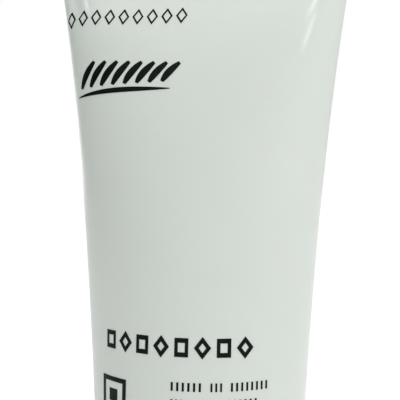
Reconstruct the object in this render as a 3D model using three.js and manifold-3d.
// A 100 ml artist's paint tube, standing on its screw cap.
// Millimetres, +Z up. The origin is the centre of the cap's flat end, the crimp runs along X and the front is -Y.
import * as THREE from 'three';
import { LoftGeometry } from 'three/addons/geometries/LoftGeometry.js';
import { mergeVertices } from 'three/addons/utils/BufferGeometryUtils.js';
import Module from 'manifold-3d';

const wasm = await Module();
wasm.setup();

// ---- Driving dimensions ----

const GAP = 0.3; // left between two pieces that touch

// The sleeve: a round plastic tube whose far end is pressed flat and sealed
const TUBE_DIAMETER = 38;
const SLEEVE_WALL = 0.5;
const SLEEVE_LENGTH = 112.5; // from the round end to the start of the crimp
const SPREAD = 0.574; // share of the widening that is a straight taper; the rest follows a cubic curve
const CRIMP_HEIGHT = 8;
const CAVITY_TOP = 0.985; // share of the sleeve's length at which its walls have met
const PAINT_TOP = 0.965; // share of the sleeve's length that the paint reaches

// The cap
const CAP_HEIGHT = 21.2;
const CAP_END_RADIUS = 17.7;
const CAP_RIM_RADIUS = 18.2;
const CAP_WALL = 1.4;
const CAP_FLOOR = 1.9;
const CAP_EDGE_ROUND = 0.9;
const RIM_CHAMFER = 0.7; // height of the slope inside the open rim, which clears the shoulder
const FLUTES = 32;
const FLUTE_DEPTH = 0.4;
const FLUTE_START = 2; // height of the flutes' lower ends
const RIM_BAND = 2.6; // plain band above the flutes
const FLUTE_FADE = 0.8; // length over which a flute reaches its depth
const BOSS_WALL = 1.7;
const WEBS = 8;
const WEB_THICKNESS = 1.2;
const WEB_TOP = 12;
const RING_GROOVE = { radius: 13.4, width: 0.8, depth: 0.3 }; // in the flat end

// The screw thread, right-handed
const PITCH = 3;
const RIDGE_HEIGHT = 0.85;
const RIDGE_ROOT_HALF = 0.7;
const RIDGE_CREST_HALF = 0.35;
const CREST_CLEARANCE = 0.4; // from the crest of one thread to the root of the other
const NECK_THREAD = { offset: 1.6, turns: 2.2 }; // offset is the height of its start above the mouth
const CAP_THREAD = { offset: NECK_THREAD.offset + PITCH / 2, turns: 2 };

// The head, its seal and the cap's liner
const NECK_RADIUS = 8;
const NECK_LENGTH = 12.5;
const BORE_RADIUS = 4;
const BORE_ROOT_RADIUS = 6.2;
const SHOULDER_RISE = 5.4;
const HEAD_WALL = 1.4;
const LIP_HEIGHT = 0.5;
const RIM_OVERLAP = 2.4; // length of the head's rim that the sleeve is welded round
const RIM_DRAFT = 0.15;
const LINER_THICKNESS = 1.2;
const LINER_RADIUS = 7.9;
const MEMBRANE_THICKNESS = 0.25;
const MEMBRANE_RADIUS = 6.9;
const TAB_WIDTH = 4.4;
const TAB_REACH = 8; // short of the crest of the cap's thread

// ---- Places worked out from them, stacked up from the cap's flat end ----

const QUARTER_TURN = Math.PI / 2;
const SLEEVE_RADIUS = TUBE_DIAMETER / 2;
const CAVITY_RADIUS = SLEEVE_RADIUS - SLEEVE_WALL;
const LINER_Z = CAP_FLOOR + GAP;
const MEMBRANE_Z = LINER_Z + LINER_THICKNESS + GAP;
const MOUTH_Z = MEMBRANE_Z + MEMBRANE_THICKNESS + GAP;
const NECK_ROOT_Z = MOUTH_Z + NECK_LENGTH;
const LIP_Z = NECK_ROOT_Z + SHOULDER_RISE;
const SLEEVE_Z = LIP_Z + LIP_HEIGHT + GAP;
const RIM_TOP_Z = SLEEVE_Z + RIM_OVERLAP;
const CRIMP_Z = SLEEVE_Z + SLEEVE_LENGTH;
const LIP_RADIUS = SLEEVE_RADIUS - 0.1;
const RIM_RADIUS = CAVITY_RADIUS - GAP;
const RIM_BORE_RADIUS = RIM_RADIUS - HEAD_WALL;
const NECK_CREST_RADIUS = NECK_RADIUS + RIDGE_HEIGHT;
const CAP_BORE_RADIUS = NECK_CREST_RADIUS + CREST_CLEARANCE;
const BOSS_RADIUS = CAP_BORE_RADIUS + BOSS_WALL;
const BOSS_TOP_Z = NECK_ROOT_Z - 1.1;
const SHOULDER_SLOPE = SHOULDER_RISE / (LIP_RADIUS - NECK_RADIUS);

// ---- Solids ----

// A closed geometry as a solid, with its shared corners merged.
function solidOf(geometry) {
  const bare = new THREE.BufferGeometry();
  bare.setAttribute('position', geometry.getAttribute('position'));
  bare.setIndex(geometry.getIndex());
  const merged = mergeVertices(bare, 1e-4);
  const vertProperties = merged.getAttribute('position').array;
  const triVerts = new Uint32Array(merged.getIndex().array);
  return new wasm.Manifold(new wasm.Mesh({ numProp: 3, vertProperties, triVerts }));
}

// A solid as a named mesh with its own material.
function pieceOf(name, solid, look) {
  const { vertProperties, triVerts } = solid.getMesh();
  const geometry = new THREE.BufferGeometry();
  geometry.setAttribute('position', new THREE.BufferAttribute(vertProperties, 3));
  geometry.setIndex(new THREE.BufferAttribute(triVerts, 1));
  geometry.computeVertexNormals();
  const piece = new THREE.Mesh(geometry, new THREE.MeshStandardMaterial(look));
  piece.name = name;
  return piece;
}

const ROUND_SIDES = 40;

// A solid turned about Z from a closed outline of [radius, z] corners, listed clockwise.
function turned(outline) {
  const profile = [...outline, outline[0]].reverse().map(([radius, z]) => new THREE.Vector2(radius, z));
  return solidOf(new THREE.LatheGeometry(profile, ROUND_SIDES).rotateX(QUARTER_TURN));
}

// A solid lofted up through rings of points, whose first and last rings are drawn in to a line or a point.
function lofted(rings) {
  return solidOf(new LoftGeometry(rings));
}

// A ring drawn in to the X axis, or to the Z axis, at its own height.
const drawnToLine = (ring) => ring.map(({ x, z }) => new THREE.Vector3(x, 0, z));
const drawnToPoint = (ring) => ring.map(({ z }) => new THREE.Vector3(0, 0, z));

// ---- Sections of the sleeve ----

const QUARTER_STEPS = 10; // wall stretches in a quarter of a section
const SUB_STEPS = 8;
const TIGHTEST_FOLD = 150;

// Stations round a quarter of the perimeter, from the middle of the front (0) to the fold (1), closer near the fold.
const stations = Array.from({ length: QUARTER_STEPS + 1 }, (_, i) => Math.sin((QUARTER_TURN * i) / QUARTER_STEPS));

// How far the wall has turned by a station: evenly on a circle (fold 0), and later the tighter the fold.
function wallTurn(fold, station) {
  const share = fold < 1e-3 ? station : Math.sinh(fold * station) / Math.sinh(fold);
  return QUARTER_TURN * share;
}

// A quarter of the cavity's section. It keeps the round end's perimeter, because the wall doesn't stretch.
function foldedQuarter(fold) {
  const wallLength = QUARTER_TURN * CAVITY_RADIUS;
  const corners = [{ x: 0, y: 0, turn: 0 }];
  for (let i = 1; i < stations.length; i++) {
    const step = (stations[i] - stations[i - 1]) / SUB_STEPS;
    let { x, y } = corners[i - 1];
    for (let j = 0; j < SUB_STEPS; j++) {
      const turn = wallTurn(fold, stations[i - 1] + (j + 0.5) * step);
      x += Math.cos(turn) * step * wallLength;
      y += Math.sin(turn) * step * wallLength;
    }
    corners.push({ x, y, turn: wallTurn(fold, stations[i]) });
  }
  const depth = corners.at(-1).y;
  return corners.map(({ x, y, turn }) => ({ x, y: depth - y, turn }));
}

// The same quarter where the walls are pressed together: straight, with the whole turn at the fold.
function flatQuarter() {
  const wallLength = QUARTER_TURN * CAVITY_RADIUS;
  return stations.map((station) => ({ x: station * wallLength, y: 0, turn: station < 1 ? 0 : QUARTER_TURN }));
}

function roundQuarter(radius) {
  return stations.map((station) => {
    const turn = QUARTER_TURN * station;
    return { x: radius * Math.sin(turn), y: radius * Math.cos(turn), turn };
  });
}

// The fold that gives a section its half-width, found by halving.
function foldFor(halfWidth) {
  let low = 0;
  let high = TIGHTEST_FOLD;
  for (let i = 0; i < 40; i++) {
    const middle = (low + high) / 2;
    const isTooNarrow = foldedQuarter(middle).at(-1).x < halfWidth;
    if (isTooNarrow) low = middle;
    else high = middle;
  }
  return low;
}

// A whole ring from a quarter, moved out by an offset and counterclockwise from above, from the middle of the front.
function ringFrom(quarter, offset, z) {
  const last = quarter.length - 1;
  const ring = [];
  for (const [sideX, sideY, towardsFold] of [[1, -1, true], [1, 1, false], [-1, 1, true], [-1, -1, false]]) {
    for (let i = 0; i < last; i++) {
      const { x, y, turn } = quarter[towardsFold ? i : last - i];
      const outX = x + offset * Math.sin(turn);
      const outY = y + offset * Math.cos(turn);
      ring.push(new THREE.Vector3(sideX * outX, sideY * outY, z));
    }
  }
  return ring;
}

// The sleeve's ring at a share t of the way from the round end to the crimp.
function sleeveRing(t, offset) {
  const widening = SPREAD * t + (1 - SPREAD) * t ** 3;
  const halfWidth = CAVITY_RADIUS * (1 + (QUARTER_TURN - 1) * widening);
  const quarter = t < 1 ? foldedQuarter(foldFor(halfWidth)) : flatQuarter();
  return ringFrom(quarter, offset, SLEEVE_Z + t * SLEEVE_LENGTH);
}

const SLEEVE_RINGS = 14;

// Shares of the sleeve's length from 0 to a highest one, closer together towards the crimp.
function sharesUpTo(highest) {
  return Array.from({ length: SLEEVE_RINGS + 1 }, (_, i) => highest * (1 - (1 - i / SLEEVE_RINGS) ** 1.6));
}

// ---- Pieces ----

// The sleeve is one skin: down the cavity's wall, round the open end, up the outside and over the crimp.
function makeSleeve() {
  const cavity = sharesUpTo(CAVITY_TOP).map((t) => sleeveRing(t, 0)).reverse();
  const outside = sharesUpTo(1).map((t) => sleeveRing(t, SLEEVE_WALL));
  const crimpEnd = ringFrom(flatQuarter(), SLEEVE_WALL, CRIMP_Z + CRIMP_HEIGHT);
  return lofted([drawnToLine(cavity[0]), ...cavity, ...outside, crimpEnd, drawnToLine(crimpEnd)]);
}

// The height of the shoulder's inner face, which slopes up from the neck to the rim.
function shoulderInsideZ(radius) {
  return NECK_ROOT_Z + (radius - NECK_RADIUS) * SHOULDER_SLOPE + HEAD_WALL;
}

// The paint fills the nozzle, the shoulder and the sleeve, a gap inside each wall.
function makePaint() {
  const inHead = [
    [BORE_RADIUS - GAP, MOUTH_Z],
    [BORE_ROOT_RADIUS - GAP, shoulderInsideZ(BORE_ROOT_RADIUS) + GAP],
    [RIM_BORE_RADIUS - GAP, shoulderInsideZ(RIM_BORE_RADIUS) + GAP],
    [RIM_BORE_RADIUS - GAP, RIM_TOP_Z + GAP],
  ].map(([radius, z]) => ringFrom(roundQuarter(radius), 0, z));
  const firstShare = (RIM_TOP_Z + GAP - SLEEVE_Z) / SLEEVE_LENGTH;
  const inSleeve = sharesUpTo(PAINT_TOP).map((t) => sleeveRing(Math.max(t, firstShare), -GAP));
  return lofted([drawnToPoint(inHead[0]), ...inHead, ...inSleeve, drawnToLine(inSleeve.at(-1))]);
}

// A thread ridge that winds up round Z. Its ends sink into the wall, which it is rooted in.
function threadRidge(rootRadius, crestRadius, startZ, turns) {
  const stepsPerTurn = 20;
  const fade = 1 / 8; // of a turn
  const rootDepth = 0.3 * Math.sign(rootRadius - crestRadius);
  const steps = Math.round(turns * stepsPerTurn);
  const sections = [];
  for (let i = 0; i <= steps; i++) {
    const turn = i / stepsPerTurn;
    const rise = Math.min(1, turn / fade, (turns - turn) / fade);
    const crest = { radius: rootRadius + (crestRadius - rootRadius) * rise, half: RIDGE_CREST_HALF };
    const root = { radius: rootRadius + rootDepth, half: RIDGE_ROOT_HALF };
    const [inner, outer] = crest.radius < root.radius ? [crest, root] : [root, crest];
    const angle = 2 * Math.PI * turn;
    const z = startZ + PITCH * turn;
    sections.push([
      [inner.radius, z - inner.half],
      [inner.radius, z + inner.half],
      [outer.radius, z + outer.half],
      [outer.radius, z - outer.half],
    ].map(([radius, height]) => new THREE.Vector3(radius * Math.cos(angle), radius * Math.sin(angle), height)));
  }
  return solidOf(new LoftGeometry(sections, { capStart: true, capEnd: true }));
}

// The shoulder, its rim inside the sleeve, and the threaded neck with its nozzle bore.
function makeHead() {
  const mouthEdge = 0.5;
  const body = turned([
    [BORE_RADIUS, MOUTH_Z],
    [BORE_ROOT_RADIUS, shoulderInsideZ(BORE_ROOT_RADIUS)],
    [RIM_BORE_RADIUS, shoulderInsideZ(RIM_BORE_RADIUS)],
    [RIM_BORE_RADIUS, RIM_TOP_Z],
    [RIM_RADIUS - RIM_DRAFT, RIM_TOP_Z],
    [RIM_RADIUS, LIP_Z + LIP_HEIGHT],
    [LIP_RADIUS, LIP_Z + LIP_HEIGHT],
    [LIP_RADIUS, LIP_Z],
    [NECK_RADIUS, NECK_ROOT_Z],
    [NECK_RADIUS, MOUTH_Z + mouthEdge],
    [NECK_RADIUS - mouthEdge, MOUTH_Z],
  ]);
  const ridge = threadRidge(NECK_RADIUS, NECK_CREST_RADIUS, MOUTH_Z + NECK_THREAD.offset, NECK_THREAD.turns);
  return body.add(ridge);
}

// A disc of foil across the nozzle's mouth, with a tab to peel it off by.
function makeMembrane() {
  const halfTab = TAB_WIDTH / 2;
  const tabAngle = Math.asin(halfTab / MEMBRANE_RADIUS);
  const outline = new THREE.Shape();
  outline.absarc(0, 0, MEMBRANE_RADIUS, tabAngle - QUARTER_TURN, 3 * QUARTER_TURN - tabAngle);
  outline.lineTo(-halfTab, halfTab - TAB_REACH);
  outline.absarc(0, halfTab - TAB_REACH, halfTab, Math.PI, 2 * Math.PI);
  outline.closePath();
  const foil = new THREE.ExtrudeGeometry(outline, { depth: MEMBRANE_THICKNESS, bevelEnabled: false, curveSegments: 24 });
  return solidOf(foil.translate(0, 0, MEMBRANE_Z));
}

function makeLiner() {
  const edge = 0.2;
  const top = LINER_Z + LINER_THICKNESS;
  return turned([
    [0, LINER_Z],
    [0, top],
    [LINER_RADIUS - edge, top],
    [LINER_RADIUS, top - edge],
    [LINER_RADIUS, LINER_Z + edge],
    [LINER_RADIUS - edge, LINER_Z],
  ]);
}

// A ring round the cap, scalloped to a depth between its flutes.
function flutedRing(radius, depth, z) {
  const count = 4 * FLUTES;
  return Array.from({ length: count }, (_, i) => {
    const angle = (2 * Math.PI * i) / count;
    const here = radius - (depth * (1 - Math.cos(FLUTES * angle))) / 2;
    return new THREE.Vector3(here * Math.cos(angle), here * Math.sin(angle), z);
  });
}

// The cap's outside, as if it were solid.
function makeCapOutside() {
  const fluteEnd = CAP_HEIGHT - RIM_BAND;
  const radiusAt = (z) => CAP_END_RADIUS + ((CAP_RIM_RADIUS - CAP_END_RADIUS) * z) / CAP_HEIGHT;
  const edge = [0, 1, 2].map((i) => {
    const angle = (QUARTER_TURN * i) / 3;
    const inset = CAP_EDGE_ROUND * (1 - Math.sin(angle));
    return flutedRing(CAP_END_RADIUS - inset, 0, CAP_EDGE_ROUND * (1 - Math.cos(angle)));
  });
  const wall = [
    [CAP_EDGE_ROUND, 0],
    [FLUTE_START, 0],
    [FLUTE_START + FLUTE_FADE, FLUTE_DEPTH],
    [fluteEnd - FLUTE_FADE, FLUTE_DEPTH],
    [fluteEnd, 0],
    [CAP_HEIGHT, 0],
  ].map(([z, depth]) => flutedRing(radiusAt(z), depth, z));
  return lofted([drawnToPoint(edge[0]), ...edge, ...wall, drawnToPoint(wall.at(-1))]);
}

// The hollow between the boss and the skirt, open at the rim.
function makeSkirtHollow() {
  const rimBore = CAP_RIM_RADIUS - CAP_WALL;
  const above = CAP_HEIGHT + 1;
  return turned([
    [0, BOSS_TOP_Z],
    [0, above],
    [rimBore + 1.2, above],
    [rimBore + 1.2, CAP_HEIGHT],
    [rimBore, CAP_HEIGHT - RIM_CHAMFER],
    [CAP_END_RADIUS - CAP_WALL, CAP_FLOOR],
    [BOSS_RADIUS, CAP_FLOOR],
    [BOSS_RADIUS, BOSS_TOP_Z],
  ]);
}

function makeRingGroove() {
  const { radius, width, depth } = RING_GROOVE;
  return turned([
    [radius - width / 2, -1],
    [radius - width / 2, 0],
    [radius, depth],
    [radius + width / 2, 0],
    [radius + width / 2, -1],
  ]);
}

// Upright webs that brace the boss against the skirt.
function makeWebs() {
  const inner = BOSS_RADIUS - 0.5;
  const outer = CAP_END_RADIUS - CAP_WALL + 0.5;
  const height = WEB_TOP - CAP_FLOOR + 0.5;
  return Array.from({ length: WEBS }, (_, i) => {
    const web = new THREE.BoxGeometry(outer - inner, WEB_THICKNESS, height);
    web.translate((inner + outer) / 2, 0, WEB_TOP - height / 2);
    return solidOf(web.rotateZ(((i + 0.5) * 2 * Math.PI) / WEBS));
  });
}

function makeCap() {
  const bore = turned([
    [0, CAP_FLOOR],
    [0, BOSS_TOP_Z + 1],
    [CAP_BORE_RADIUS, BOSS_TOP_Z + 1],
    [CAP_BORE_RADIUS, CAP_FLOOR],
  ]);
  const crestRadius = CAP_BORE_RADIUS - RIDGE_HEIGHT;
  const ridge = threadRidge(CAP_BORE_RADIUS, crestRadius, MOUTH_Z + CAP_THREAD.offset, CAP_THREAD.turns);
  const shell = makeCapOutside().subtract(makeSkirtHollow()).subtract(makeRingGroove());
  const braced = makeWebs().reduce((solid, web) => solid.add(web), shell);
  return braced.subtract(bore).add(ridge);
}

// ---- The tube ----

const tube = new THREE.Group();
tube.add(
  pieceOf('tube_sleeve', makeSleeve(), { color: 0xdfe4dd, roughness: 0.32, metalness: 0 }),
  pieceOf('tube_head', makeHead(), { color: 0xeef0ec, roughness: 0.45, metalness: 0 }),
  pieceOf('paint_fill', makePaint(), { color: 0xf6f7f2, roughness: 0.3, metalness: 0 }),
  pieceOf('foil_membrane', makeMembrane(), { color: 0xc8cacc, roughness: 0.3, metalness: 1 }),
  pieceOf('cap_liner', makeLiner(), { color: 0xe9e9e4, roughness: 0.9, metalness: 0 }),
  pieceOf('screw_cap', makeCap(), { color: 0x1b1c1e, roughness: 0.5, metalness: 0 }),
);

export default tube;
